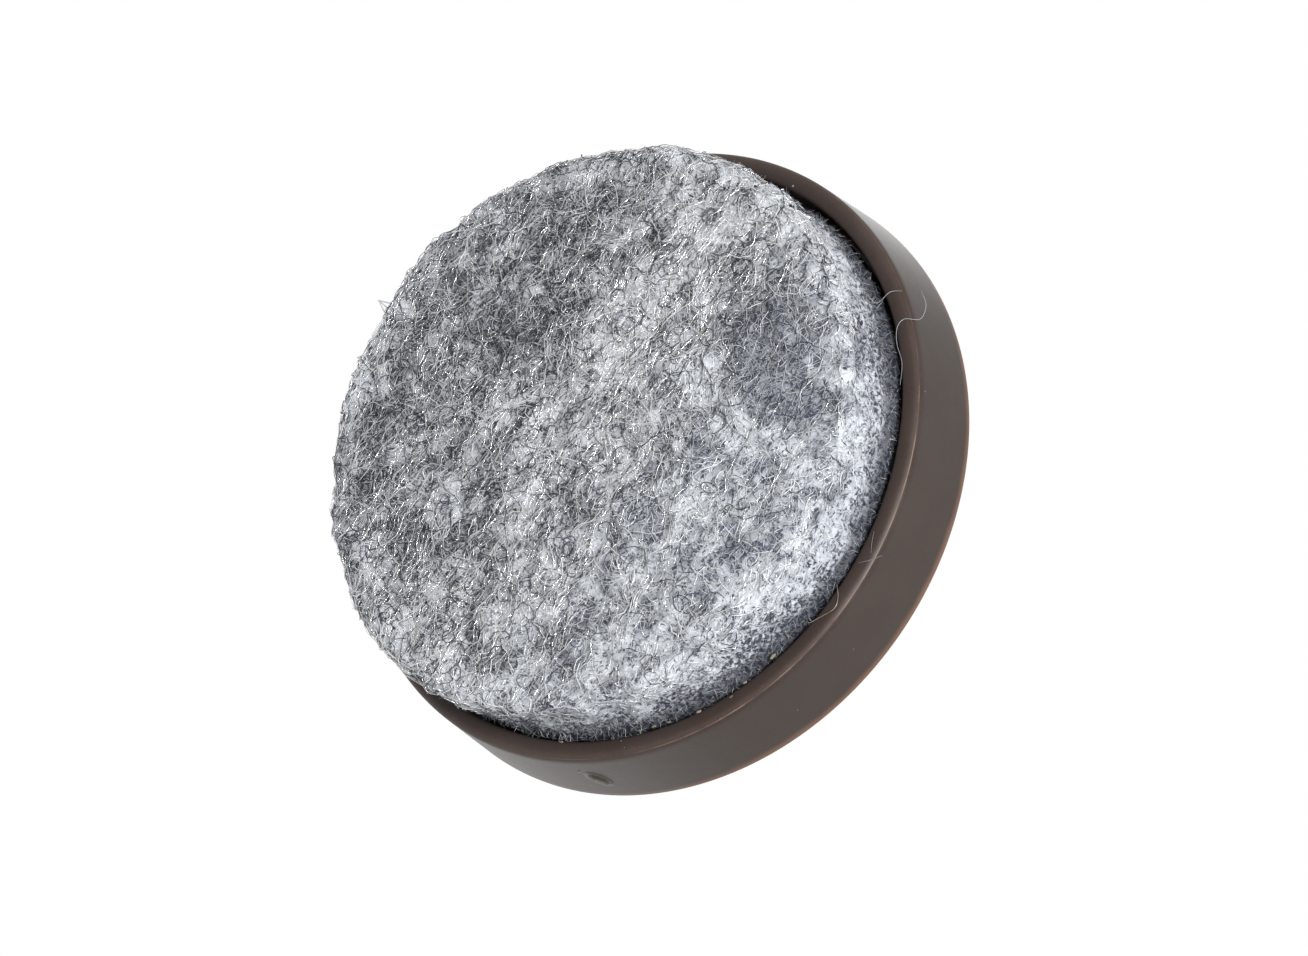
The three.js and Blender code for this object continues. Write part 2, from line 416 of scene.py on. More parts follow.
def drawn_steel():
    """Drawn wire: fine scratches along the shank, a little oil-dark mottle, bright metal."""
    material, graph, shader, place = new_material("drawn_steel")
    stretch = graph.add("ShaderNodeMapping", {"Vector": place, "Scale": (1, 1, 0.06)}).outputs["Vector"]
    scratch = graph.noise(stretch, 16.0, 4)
    stain = graph.noise(place, 1.1, 4, 0.4)
    bright = graph.blend(graph.remap(scratch, 0.3, 0.7), DULL_STEEL, BRIGHT_STEEL)
    colour = graph.blend(graph.remap(stain, 0.50, 0.80, 0.0, 0.5), bright, OILED_STEEL)
    normal = graph.bump(scratch, 0.012, 0.5)
    rough = graph.remap(stain, 0.3, 0.7, 0.24, 0.42)
    graph.feed(shader, {"Base Color": colour, "Normal": normal, "Roughness": rough, "Metallic": 1.0})
    return material


def shank_radius(angle, z):
    """Distance from the nail's axis to its surface, with the grip notches and the four-sided point."""
    radius = SHANK_RADIUS
    for k in range(1, GRIP_COUNT + 1):
        off = (z - head_shoulder - GRIP_PITCH * k) / GRIP_HALF_HEIGHT
        if abs(off) < 1:
            flat = SHANK_RADIUS - GRIP_DEPTH * (1 - off * off)
            radius = min(radius, flat / max(abs(math.cos(angle)), 0.2))
    share = (nail_tip - z) / POINT_LENGTH
    from_flat = (angle + math.pi / 4) % (math.pi / 2) - math.pi / 4
    pinched = (POINT_TIP + (SHANK_RADIUS - POINT_TIP) * share) / math.cos(from_flat)
    return min(radius, pinched)


def ring_sides(rings, around):
    """Quads between rings of vertices."""
    faces = []
    for ring in range(rings - 1):
        for k in range(around):
            a, b = ring * around + k, ring * around + (k + 1) % around
            faces.append((a, b, b + around, a + around))
    return faces


def nail_mesh():
    """Rings from the head to the tip, closed at both ends."""
    angles = np.linspace(0, 2 * math.pi, NAIL_AROUND, endpoint=False)
    rings = [(HEAD_RADIUS - 3 * HEAD_ROUND, pocket_floor)]
    for a in np.linspace(0, math.pi / 2, 7):
        inset, rise = HEAD_ROUND * (1 - math.sin(a)), HEAD_ROUND * (1 - math.cos(a))
        rings.append((HEAD_RADIUS - inset, pocket_floor + rise))
    rings.append((HEAD_RADIUS, head_shoulder))
    heights = np.concatenate([
        np.arange(head_shoulder, head_shoulder + GRIP_PITCH * (GRIP_COUNT + 0.6), 0.06),
        np.linspace(head_shoulder + GRIP_PITCH * (GRIP_COUNT + 0.7), nail_tip - POINT_LENGTH * 1.3, 8),
        np.linspace(nail_tip - POINT_LENGTH * 1.25, nail_tip, 36),
    ])
    vertices = [(r * math.cos(a), r * math.sin(a), z) for r, z in rings for a in angles]
    for z in heights:
        for a in angles:
            r = shank_radius(a, z)
            vertices.append((r * math.cos(a), r * math.sin(a), z))
    ring_count = len(rings) + len(heights)
    faces = ring_sides(ring_count, NAIL_AROUND)
    last = (ring_count - 1) * NAIL_AROUND
    vertices += [(0, 0, pocket_floor), (0, 0, nail_tip)]
    for k in range(NAIL_AROUND):
        on = (k + 1) % NAIL_AROUND
        faces.append((on, k, len(vertices) - 2))
        faces.append((last + k, last + on, len(vertices) - 1))
    mesh = outward(mesh_from("wire_nail", vertices, faces))
    mesh.set_sharp_from_angle(angle=math.radians(28))
    return mesh


piece("wire_nail", nail_mesh(), drawn_steel(), "nail")


# The adhesive
# Amber hot-melt, poured into the pocket and pressed out by the felt. The set layer has an uneven edge, and a
# few tan beads and one clear string stuck to the felt's foot when the nozzle was drawn away.

ADHESIVE_AROUND = 120
BEAD_PLACES = (  # distance from the axis, heading in degrees, height, and half length
    (12.76, -74.0, 3.12, 0.17), (12.89, -67.1, 3.12, 0.10), (13.06, -63.6, 3.15, 0.09),
    (12.93, -56.9, 3.12, 0.12), (12.83, -50.7, 3.10, 0.08), (12.78, -47.5, 3.12, 0.11),
    (12.77, -44.4, 3.10, 0.07), (12.91, -27.7, 3.12, 0.12),
)
STRING_PATH = (
    (-0.31, -12.88, 3.0), (0.08, -13.22, 3.1), (0.53, -13.37, 3.12),
    (1.07, -13.11, 3.1), (1.60, -12.86, 3.0),
)
BEAD_RINGS = 9
BEAD_AROUND = 10
STRING_RADIUS = 0.016
DEEP_AMBER = (0.14, 0.10, 0.065, 1)
CLOUDY_AMBER = (0.38, 0.33, 0.25, 1)


def hot_melt():
    """Set hot-melt: amber, cloudy inside, with a smooth skin."""
    material, graph, shader, place = new_material("hot_melt")
    cloud = graph.noise(place, 2.2, 3)
    amber = graph.blend(graph.remap(cloud, 0.3, 0.7), DEEP_AMBER, CLOUDY_AMBER)
    skin = graph.bump(cloud, 0.05, 0.4)
    graph.feed(shader, {"Base Color": amber, "Normal": skin, "Roughness": 0.22, "Transmission Weight": 0.25})
    return material


def pressed_layer():
    """The set layer: a thin pancake with a wandering edge. Its rings run over both faces."""
    low, high = (corner.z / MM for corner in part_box("adhesive_layer"))
    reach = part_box("adhesive_layer")[1].x / MM
    under, over = (0.3, 0.75, 0.97), (0.98, 0.75, 0.3)
    rings = [(share, low) for share in under]
    rings.append((1.0, (low + high) / 2))
    rings += [(share, high) for share in over]
    vertices = []
    for share, z in rings:
        for k in range(ADHESIVE_AROUND):
            angle = 2 * math.pi * k / ADHESIVE_AROUND
            uneven = noise.noise(Vector((2.5 * math.cos(angle), 2.5 * math.sin(angle), 4.0)))
            radius = reach * share * (1 - 0.035 * share ** 4 * (1 + uneven))
            vertices.append((radius * math.cos(angle), radius * math.sin(angle), z))
    return vertices, ring_faces(len(rings), ADHESIVE_AROUND)


def ring_faces(rings, around):
    """Quads between rings of vertices, and one cap at each end."""
    caps = [tuple(range(around))[::-1], tuple(range((rings - 1) * around, rings * around))]
    return caps + ring_sides(rings, around)


def bead(radius, heading_degrees, height, half_length):
    """A drop or a speck, drawn out along the rim, as rings of vertices and their faces."""
    heading = math.radians(heading_degrees)
    centre = Vector((radius * math.cos(heading), radius * math.sin(heading), height))
    along = Vector((-math.sin(heading), math.cos(heading), 0))
    out = Vector((math.cos(heading), math.sin(heading), 0))
    vertices = []
    for step in np.linspace(0.12, math.pi - 0.12, BEAD_RINGS):
        for turn in np.linspace(0, 2 * math.pi, BEAD_AROUND, endpoint=False):
            at = centre + along * 0.4 * math.cos(step) + out * 0.3 * math.cos(turn)
            lumpy = 0.8 + 1.1 * noise.noise(at * 9)
            girth = 0.5 * half_length * math.sin(step) * max(lumpy, 0.25)
            ring = (out * math.cos(turn) + Vector((0, 0, math.sin(turn)))) * girth
            vertices.append(tuple(centre + along * half_length * math.cos(step) + ring))
    return vertices, ring_faces(BEAD_RINGS, BEAD_AROUND)


def strand(points, radius, steps=6, around=6):
    """A thin round strand on a smooth curve through the points, thinner at its ends."""
    path = []
    points = [Vector(p) for p in (points[0], *points, points[-1])]
    for a, b, c, d in zip(points, points[1:], points[2:], points[3:]):
        for t in np.linspace(0, 1, steps, endpoint=False):
            squared, cubed = 2 * a - 5 * b + 4 * c - d, 3 * b - a - 3 * c + d
            path.append((2 * b + (c - a) * t + squared * t ** 2 + cubed * t ** 3) / 2)
    path.append(points[-1])
    vertices, side = [], Vector((0.3, 0.2, 0.9))
    for i, at in enumerate(path):
        ahead = (path[min(i + 1, len(path) - 1)] - path[max(i - 1, 0)]).normalized()
        side = (side - ahead * side.dot(ahead)).normalized()
        girth = radius * (0.4 + 0.6 * math.sin(math.pi * i / (len(path) - 1)) ** 0.5)
        for k in range(around):
            turn = Matrix.Rotation(2 * math.pi * k / around, 3, ahead)
            vertices.append(tuple(at + turn @ side * girth))
    return vertices, ring_faces(len(path), around)


def joined(name, parts):
    """One mesh of several (vertices, faces) parts."""
    vertices, faces = [], []
    for part_vertices, part_faces in parts:
        faces += [tuple(k + len(vertices) for k in face) for face in part_faces]
        vertices += part_vertices
    return mesh_from(name, vertices, faces)


adhesive = hot_melt()
disc = outward(joined("adhesive_disc", [pressed_layer()]))
piece("adhesive_disc", disc, adhesive, "adhesive_layer")
drops = [bead(*place) for place in BEAD_PLACES] + [strand(STRING_PATH, STRING_RADIUS)]
piece("adhesive_drops", outward(joined("adhesive_drops", drops)), adhesive)


# The felt
# A disc stamped from needled felt: white, grey and navy polyester fibres punched together and matted. The
# pocket holds its back half, and below the rim it swells, leans over and frays. It is glued over the nail.

FELT_CLEARANCE = 0.25
FELT_SPREAD = 0.12
FELT_SOLE_ROUND = 0.6
FELT_SHIFT = 0.14
FELT_LEAN = 0.36
FELT_SHIFT_ANGLE = math.radians(55)
FELT_CELLS = 170
FELT_SPOTS = (  # x, y, radius and gain of the uneven spots in the blend
    (-7.3, 6.2, 2.6, -0.4), (-1.6, 6.6, 2.5, -0.8), (7.8, 7.0, 2.4, -0.5), (1.0, 8.6, 2.4, -0.25),
    (-6.8, -5.4, 2.9, -0.8), (3.4, -10.0, 0.8, -1.8), (7.3, -5.9, 2.1, -0.55), (8.8, -0.9, 2.3, -0.5),
    (4.4, 8.8, 2.4, -0.7), (-1.0, 11.0, 2.4, -0.7), (-8.7, -3.0, 1.9, -0.35), (3.4, -9.7, 2.0, 0.5),
    (6.7, -7.8, 2.0, 0.5), (-9.2, 0.5, 2.2, 0.5), (-8.4, -8.2, 2.0, -0.3), (-11.0, 3.4, 1.4, 0.5),
    (-3.6, 0.2, 2.4, 0.5), (-4.0, -2.6, 2.3, 0.7), (-4.6, 8.2, 2.0, -0.5), (1.3, 1.4, 2.6, 0.6),
    (-2.0, -7.0, 1.5, 0.3), (2.2, 4.4, 1.5, 0.5), (-8.8, 2.2, 1.8, 0.4), (11.2, -3.2, 1.8, 0.4),
    (10.2, -8.0, 2.4, -0.35), (-5.2, 10.2, 1.8, -0.5), (11.6, 2.2, 1.8, 0.5), (-5.4, -7.2, 2.2, -0.6),
    (0.3, -9.9, 1.7, -0.5), (5.6, -7.4, 1.8, -0.4), (-7.0, -6.2, 4.2, -0.35),
)
FELT_PALE_EDGE = (10.9, 12.3)  # the blend turns whiter between these distances from the axis
FELT_PALE_EDGE_GAIN = 0.35
FELT_DARK_LAYER = (1.3, 2.7)  # and darker between these heights
FELT_DARK_LAYER_LOSS = 0.75
NEAR_SIDE = (1.0, -8.0)  # y at which the near side begins, and at which it is full; there the mat is closer and paler, partly painted light
FIBRE_GRAIN = math.radians(171)  # heading on the sole that the fibres favour, from carding
FELT_HIDDEN_DEPTH = 0.7
FELT_LUMP_HEIGHT = 0.48
FELT_WANDER = 0.08
FELT_BULGES = ((72, 13, 0.30), (101, 9, 0.45), (116, 5, 0.35), (127, 7, 0.18))  # heading, half width, height

felt_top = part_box("felt_pad")[1].z / MM
felt_grip_radius = mouth_radius - FELT_CLEARANCE


def disc_cells(cells):
    """A square grid pressed into a unit disc, so that its cells stay about as large everywhere."""
    step = np.linspace(-1, 1, cells + 1)
    u, v = np.meshgrid(step, step, indexing="ij")
    wide = np.abs(u) > np.abs(v)
    safe_u, safe_v = np.where(u == 0, 1, u), np.where(v == 0, 1, v)
    share = np.where(wide, u, v)
    angle = np.where(wide, math.pi / 4 * v / safe_u, math.pi / 2 - math.pi / 4 * u / safe_v)
    return share * np.cos(angle), share * np.sin(angle)


def felt_section(share):
    """Radius and height along the section, at shares from 0 at the sole's centre to 1 inside the pocket."""
    swollen = felt_grip_radius + FELT_SPREAD
    flat = swollen - FELT_SOLE_ROUND
    arc = FELT_SOLE_ROUND * math.pi / 2
    side = rim_level + FELT_HIDDEN_DEPTH - FELT_SOLE_ROUND
    run = share * (flat + arc + side)
    turn = np.clip((run - flat) / FELT_SOLE_ROUND, 0, math.pi / 2)
    radius = np.minimum(run, flat) + FELT_SOLE_ROUND * np.sin(turn)
    height = FELT_SOLE_ROUND * (1 - np.cos(turn)) + np.clip(run - flat - arc, 0, None)
    held = np.clip((height - rim_level * 0.4) / (rim_level * 0.6), 0, 1)
    return radius - FELT_SPREAD * held * held * (3 - 2 * held), height


def felt_shape():
    """The matted disc without its lumps: sole, edge and side in one grid, and a plain back in the pocket."""
    unit_x, unit_y = disc_cells(FELT_CELLS)
    share, angle = np.hypot(unit_x, unit_y), np.arctan2(unit_y, unit_x)
    radius, height = felt_section(share)
    below = np.clip(1 - height / rim_level, 0, 1)
    below = below * below * (3 - 2 * below)
    wave = 0.45 * np.sin(3 * angle + 0.6) + 0.3 * np.sin(7 * angle + 2.1) + 0.25 * np.sin(16 * angle + 4)
    bulge = sum(rise * np.exp(-((np.degrees(angle) - at) / wide) ** 2) for at, wide, rise in FELT_BULGES)
    radius = radius + (FELT_WANDER * wave + bulge) * below * (radius / felt_grip_radius) ** 3
    shift = FELT_SHIFT + FELT_LEAN * below
    x = radius * np.cos(angle) + shift * math.cos(FELT_SHIFT_ANGLE)
    y = radius * np.sin(angle) + shift * math.sin(FELT_SHIFT_ANGLE)
    vertices = np.stack([x, y, height], axis=-1).reshape(-1, 3)
    index = np.arange((FELT_CELLS + 1) ** 2).reshape(FELT_CELLS + 1, -1)
    faces = np.stack([index[:-1, :-1], index[:-1, 1:], index[1:, 1:], index[1:, :-1]], axis=-1)
    edge = np.concatenate([index[0, :-1], index[:-1, -1], index[-1, :0:-1], index[:0:-1, 0]])
    ring = vertices[edge].copy()
    ring[:, 2] = felt_top
    centre = len(vertices) + len(ring)
    top = np.arange(len(vertices), centre)
    on_edge, on_top = np.roll(edge, -1), np.roll(top, -1)
    sides = np.stack([edge, on_edge, on_top, top], axis=-1)
    back = [(a, b, centre) for a, b in zip(top, on_top)]
    vertices = np.concatenate([vertices, ring, [ring.mean(axis=0)]])
    return outward(mesh_from("felt_mat", vertices, [*faces.reshape(-1, 4), *sides, *back]))


def geometry_graph(name, inputs):
    """A Geometry Nodes tree with named inputs. Returns its graph and the sockets that give the inputs."""
    tree = bpy.data.node_groups.new(name, "GeometryNodeTree")
    tree.is_modifier = True
    tree.interface.new_socket("Geometry", in_out="INPUT", socket_type="NodeSocketGeometry")
    for label, kind in inputs.items():
        tree.interface.new_socket(label, in_out="INPUT", socket_type=kind)
    tree.interface.new_socket("Geometry", in_out="OUTPUT", socket_type="NodeSocketGeometry")
    graph = Graph(tree)
    return graph, graph.add("NodeGroupInput").outputs


def grown(name, source, tree, values):
    """The plain mesh that a Geometry Nodes tree makes from a source mesh, with these named inputs."""
    carrier = in_scene(name, source)
    modifier = carrier.modifiers.new(name, "NODES")
    modifier.node_group = tree
    for item in tree.interface.items_tree:
        if item.in_out == "INPUT" and item.name in values:
            modifier[item.identifier] = values[item.name]
    graph = bpy.context.evaluated_depsgraph_get()
    mesh = bpy.data.meshes.new_from_object(carrier.evaluated_get(graph), depsgraph=graph)
    bpy.data.objects.remove(carrier)
    mesh.name = name
    return mesh


def end_tree(graph, geometry, given):
    """Ends a tree: instances made real, and the material set."""
    real = graph.geometry("RealizeInstances", {"Geometry": geometry})
    finished = graph.geometry("SetMaterial", {"Geometry": real, "Material": given["Material"]})
    graph.add("NodeGroupOutput", {"Geometry": finished})


def lump_tree():
    """Pushes the mat's surface in by soft lumps, tufts and small pits. It is never pushed out."""
    inputs = {"Height": "NodeSocketFloat", "Material": "NodeSocketMaterial"}
    graph, given = geometry_graph("felt_lumps", inputs)
    place = graph.scaled(graph.geometry("InputPosition"), 1 / MM)
    lumps = graph.remap(graph.noise(place, 0.42, 2, 0.6), 0.32, 0.70)
    tuft_place = graph.vector("ADD", place, (31.0, 7.0, 3.0))
    tufts = graph.remap(graph.noise(tuft_place, 1.1, 2, 0.5), 0.30, 0.72)
    pit_place = graph.vector("ADD", place, (3.0, 60.0, 11.0))
    pits = graph.remap(graph.noise(pit_place, 2.3, 3, 0.8), 0.30, 0.60, 1.0, 0.0)
    depth = graph.times_plus(lumps, 0.42, graph.times(tufts, 0.36))
    depth = graph.times_plus(pits, 0.22, depth)
    z = graph.coordinate(place, "Z")
    open_share = graph.remap(z, rim_level - 0.1, rim_level + 0.4, 1.0, 0.0)
    depth = graph.times(graph.times(depth, given["Height"]), open_share)
    normal = graph.geometry("InputNormal")
    inward = graph.scaled(normal, graph.times(depth, -1.0))
    lumpy = graph.geometry("SetPosition", {"Geometry": given["Geometry"], "Offset": inward})
    end_tree(graph, lumpy, given)
    return graph.tree


def whiteness(graph, place):
    """How white the blend is at a place: cloudy, with a few spots where the carding left it white or dark."""
    cloud = graph.noise(place, 0.36, 3, 0.6)
    value = graph.remap(cloud, 0.38, 0.62, 0.05, 0.95, smooth=False)
    tufts = graph.noise(graph.vector("ADD", place, (5.0, 40.0, 9.0)), 1.15, 3, 0.5)
    value = graph.plus(value, graph.remap(tufts, 0.36, 0.64, -0.42, 0.42, smooth=False))
    flat = graph.vector("MULTIPLY", place, LEVEL)
    for x, y, radius, gain in FELT_SPOTS:
        far = graph.vector("DISTANCE", flat, (x, y, 0.0))
        value = graph.plus(value, graph.remap(far, 0.3 * radius, radius, gain, 0.0))
    from_axis = graph.vector("LENGTH", flat)
    value = graph.plus(value, graph.remap(from_axis, *FELT_PALE_EDGE, 0.0, FELT_PALE_EDGE_GAIN))
    height = graph.coordinate(place, "Z")
    loss = graph.remap(height, *FELT_DARK_LAYER, 0.0, FELT_DARK_LAYER_LOSS)
    value = graph.minus(value, loss)
    return graph.remap(value, 0.0, 1.0, smooth=False)


def fibre_tree():
    """Strews curly fibres over the mat: each wanders along the surface, lifts from it and dips back in.

    A fibre's heading turns by a steady curl and a random wobble at every step. The steps are summed in the
    plane of the surface at its root, laid back on the mat, and lifted off it by a height that also wanders.
    """
    floats = ("Density Where Dark", "Density Where White", "Gain Toward -Y", "Lowest Root", "Highest Root",
              "Step Length", "Curl", "Wobble", "Combed", "Radius", "Lift", "Stand")
    inputs = {label: "NodeSocketFloat" for label in floats}
    inputs |= {"Steps": "NodeSocketInt", "Seed": "NodeSocketInt", "Material": "NodeSocketMaterial"}
    graph, given = geometry_graph("felt_fibres", inputs)
    mat = given["Geometry"]
    position = graph.geometry("InputPosition")
    normal = graph.geometry("InputNormal")

    def chance(low, high, seed, identity=None):
        inputs = {"Min_001": low, "Max_001": high, "Seed": graph.plus(given["Seed"], seed)}
        if identity:
            inputs["ID"] = identity
        node = graph.add("FunctionNodeRandomValue", inputs, data_type="FLOAT")
        return graph.socket(node.outputs, "Value_001")

    white = whiteness(graph, graph.scaled(position, 1 / MM))
    low, high = given["Density Where Dark"], given["Density Where White"]
    density = graph.remap(white, 0.0, 1.0, low, high, smooth=False)
    toward = graph.remap(graph.coordinate(position, "Y"), NEAR_SIDE[0] * MM, NEAR_SIDE[1] * MM)
    gain = graph.times_plus(toward, given["Gain Toward -Y"], 1.0)
    density = graph.times(density, gain)
    root_height = graph.coordinate(position, "Z")
    above = graph.maths("GREATER_THAN", root_height, given["Lowest Root"])
    under = graph.maths("LESS_THAN", root_height, given["Highest Root"])
    roots = graph.add("GeometryNodeDistributePointsOnFaces", {
        "Mesh": mat,
        "Selection": graph.times(above, under),
        "Density": density,
        "Seed": given["Seed"],
    })
    marked = graph.add("GeometryNodeCaptureAttribute", {"Geometry": roots.outputs["Points"]}, domain="POINT")
    marked.capture_items.new("VECTOR", "Root")
    marked.capture_items.new("VECTOR", "Normal")
    graph.feed(marked, {"Root": position, "Normal": roots.outputs["Normal"]})
    root, up = marked.outputs["Root"], marked.outputs["Normal"]

    straight = graph.geometry("CurvePrimitiveLine")
    strand = graph.geometry("ResampleCurve", {"Curve": straight, "Count": given["Steps"]})
    placed = graph.geometry("InstanceOnPoints", {"Points": marked.outputs["Geometry"], "Instance": strand})
    strands = graph.geometry("RealizeInstances", {"Geometry": placed})

    fibre = graph.geometry("CurveOfPoint")
    along = graph.geometry("SplineParameter")
    any_way = chance(0.0, 2 * math.pi, 1, fibre)
    lean = graph.maths("SINE", graph.times(graph.minus(any_way, FIBRE_GRAIN), 2.0))
    first_heading = graph.minus(any_way, graph.times(lean, given["Combed"]))
    curl = graph.times(chance(-1.0, 1.0, 2, fibre), given["Curl"])
    wobble = graph.times(chance(-1.0, 1.0, 3), given["Wobble"])
    bend = graph.add("GeometryNodeAccumulateField", {
        "Value": graph.plus(curl, wobble),
        "Group Index": fibre,
    }, data_type="FLOAT").outputs["Leading"]
    heading = graph.plus(first_heading, bend)
    away = graph.combined(graph.maths("COSINE", heading), graph.maths("SINE", heading))
    stride = graph.times(given["Step Length"], chance(0.65, 1.25, 4, fibre))
    stride = graph.scaled(away, stride)
    walked_node = graph.add("GeometryNodeAccumulateField", {"Group Index": fibre}, data_type="FLOAT_VECTOR")
    graph.tree.links.new(stride, walked_node.inputs["Value"])
    walked = graph.add("ShaderNodeSeparateXYZ", {"Vector": walked_node.outputs["Leading"]})
    side = graph.vector("NORMALIZE", graph.vector("CROSS_PRODUCT", up, (0.0, 1.0, 0.3)))
    ahead = graph.vector("CROSS_PRODUCT", side, up)
    in_plane = graph.vector("ADD",
        graph.scaled(side, walked.outputs["X"]),
        graph.scaled(ahead, walked.outputs["Y"]))
    strayed = graph.vector("ADD", root, in_plane)

    nearest = graph.geometry("Proximity", {"Target": mat, "Source Position": strayed})
    facing = graph.add("GeometryNodeSampleNearestSurface", {
        "Mesh": mat,
        "Sample Position": strayed,
    }, data_type="FLOAT_VECTOR")
    graph.tree.links.new(normal, facing.inputs["Value"])
    wander_place = graph.scaled(strayed, 1 / MM)
    wander_place = graph.vector("ADD", wander_place, graph.combined(graph.times(fibre, 3.17)))
    rise = graph.remap(graph.noise(wander_place, 1.1, 1), 0.25, 0.75, -0.35, 1.0, smooth=False)
    rise = graph.times(rise, given["Lift"])
    upright = graph.times(graph.maths("POWER", along, 1.5), given["Stand"])
    upright = graph.times(upright, chance(0.1, 1.0, 5, fibre))
    offset = graph.scaled(facing.outputs["Value"], graph.plus(rise, upright))
    laid = graph.vector("ADD", nearest, offset)
    parts = graph.add("ShaderNodeSeparateXYZ", {"Vector": laid})
    lowest = graph.times(given["Radius"], 1.2)
    above_floor = graph.maths("MAXIMUM", parts.outputs["Z"], lowest)
    kept = graph.combined(parts.outputs["X"], parts.outputs["Y"], above_floor)
    shaped = graph.geometry("SetPosition", {"Geometry": strands, "Position": kept})
    toned = graph.geometry("StoreNamedAttribute", {
        "Geometry": shaped,
        "Name": "tone",
        "Value": chance(0.0, 1.0, 6, fibre),
    }, data_type="FLOAT", domain="POINT")
    taper = graph.remap(graph.maths("PINGPONG", along, 0.5), 0.0, 0.12, 0.35, 1.0)
    thickness = graph.times(given["Radius"], chance(0.7, 1.25, 7, fibre))
    section = graph.geometry("CurvePrimitiveCircle", {"Resolution": 3, "Radius": 1.0}, mode="RADIUS")
    tubes = graph.geometry("CurveToMesh", {
        "Curve": toned,
        "Profile Curve": section,
        "Scale": graph.times(thickness, taper),
        "Fill Caps": True,
    })
    end_tree(graph, graph.geometry("SetShadeSmooth", {"Geometry": tubes}), given)
    return graph.tree


def strands_texture(graph, place, scale, width, seed):
    """Thin curly lines, 1 on a strand and 0 between: the level lines of a noise."""
    shifted = graph.vector("ADD", place, (seed * 7.3, seed * 3.1, seed * 5.7))
    field = graph.noise(shifted, scale, 2.0, 0.8)
    level = graph.maths("PINGPONG", graph.times(field, 9.0), 0.5)
    return graph.remap(level, 0.5 - width, 0.5, 0.0, 1.0)


OPEN_SHADED_HAZE = (0.11, 0.12, 0.135, 1)
MATTED_LIT_HAZE = (0.23, 0.245, 0.280, 1)
WHITE_HAZE = (0.62, 0.65, 0.69, 1)
OPEN_PIT_SHADE = (0.026, 0.029, 0.036, 1)
MATTED_LIT_PIT_SHADE = (0.060, 0.068, 0.100, 1)
DARK_CUT_END = (0.060, 0.066, 0.088, 1)
WHITE_CUT_END = (0.62, 0.65, 0.70, 1)
FOOT_SHADE = (0.010, 0.012, 0.022, 1)
MATTED_STRANDS = (  # scale, width, seed, colour and cover of the strands drawn in the mat
    (1.7, 0.13, 1, (0.66, 0.69, 0.73, 1), 0.5),
    (2.0, 0.07, 2, (0.05, 0.055, 0.08, 1), 0.35),
    (3.1, 0.14, 3, (0.86, 0.88, 0.92, 1), 0.5),
)


def matted_felt():
    """The mat under the loose fibres: white haze with small dark pits of painted shade, cut ends on the side,
    painted shadow at the foot.
    """
    material, graph, shader, place = new_material("matted_felt")
    white = whiteness(graph, place)
    combed = graph.add("ShaderNodeMapping", {
        "Vector": place,
        "Rotation": (0.0, 0.0, FIBRE_GRAIN),
        "Scale": (1.8, 1.0, 1.0),
    }, vector_type="TEXTURE").outputs["Vector"]
    matting = graph.noise(combed, 3.4, 4, 0.7)
    # Toward the near side the haze and pits turn paler: partly a closer mat, partly painted light falling
    # stronger there.
    toward = graph.remap(graph.coordinate(place, "Y"), *NEAR_SIDE)
    haze = graph.blend(white, graph.blend(toward, OPEN_SHADED_HAZE, MATTED_LIT_HAZE), WHITE_HAZE)
    # The dark pits are painted shade in the gaps between fibres, tinted by the navy fibres seen there.
    closed = graph.times_plus(white, 0.17, graph.times_plus(toward, 0.03, matting))
    closed = graph.remap(closed, 0.49, 0.61)
    colour = graph.blend(closed, graph.blend(toward, OPEN_PIT_SHADE, MATTED_LIT_PIT_SHADE), haze)
    height = matting
    for scale, width, seed, tint, cover in MATTED_STRANDS:
        strand = strands_texture(graph, combed, scale, width, seed)
        colour = graph.blend(graph.times(strand, cover), colour, tint)
        height = graph.maths("MAXIMUM", graph.times(height, 0.85), strand)
    z = graph.coordinate(place, "Z")
    cut_ends = graph.noise(place, 6.0, 3, 0.4)
    speckle = graph.remap(graph.times_plus(white, 0.16, cut_ends), 0.42, 0.64)
    ends = graph.blend(speckle, DARK_CUT_END, WHITE_CUT_END)
    colour = graph.blend(graph.remap(z, 0.7, 1.4), colour, ends)
    ragged = graph.times_plus(cut_ends, 0.8, z)
    shadow = graph.remap(ragged, rim_level - 0.2, rim_level + 0.7, 0.0, 0.85)
    colour = graph.blend(shadow, colour, FOOT_SHADE)
    normal = graph.bump(height, 0.05, 0.7)
    graph.feed(shader, {
        "Base Color": colour, "Normal": normal, "Roughness": 0.75, "Specular IOR Level": 0.3,
    })
    return material


def polyester(name, dark, light, roughness, lustre):
    """One colour of fibre, darkened as painted shade where the blend is dark. Lustre stands for light thrown
    back inside.
    """
    material, graph, shader, place = new_material(name)
    tone = graph.attribute("tone")
    tone_and_shade = graph.times_plus(graph.noise(place, 1.6, 2), 0.3, graph.times(tone, 0.7))
    # Painted shade: fibres where the blend is dark are darkened, as they lie in shade there.
    tone_and_shade = graph.times_plus(whiteness(graph, place), 0.4, tone_and_shade)
    colour = graph.blend(graph.remap(tone_and_shade, 0.25, 1.05), dark, light)
    graph.feed(shader, {
        "Base Color": colour, "Roughness": roughness, "Specular IOR Level": 0.8, "Metallic": lustre,
    })
    return material


mat = matted_felt()
felt_mesh = grown("felt_mat", felt_shape(), lump_tree(), {"Height": FELT_LUMP_HEIGHT * MM, "Material": mat})
felt = piece("felt_mat", felt_mesh, mat, "felt_pad")

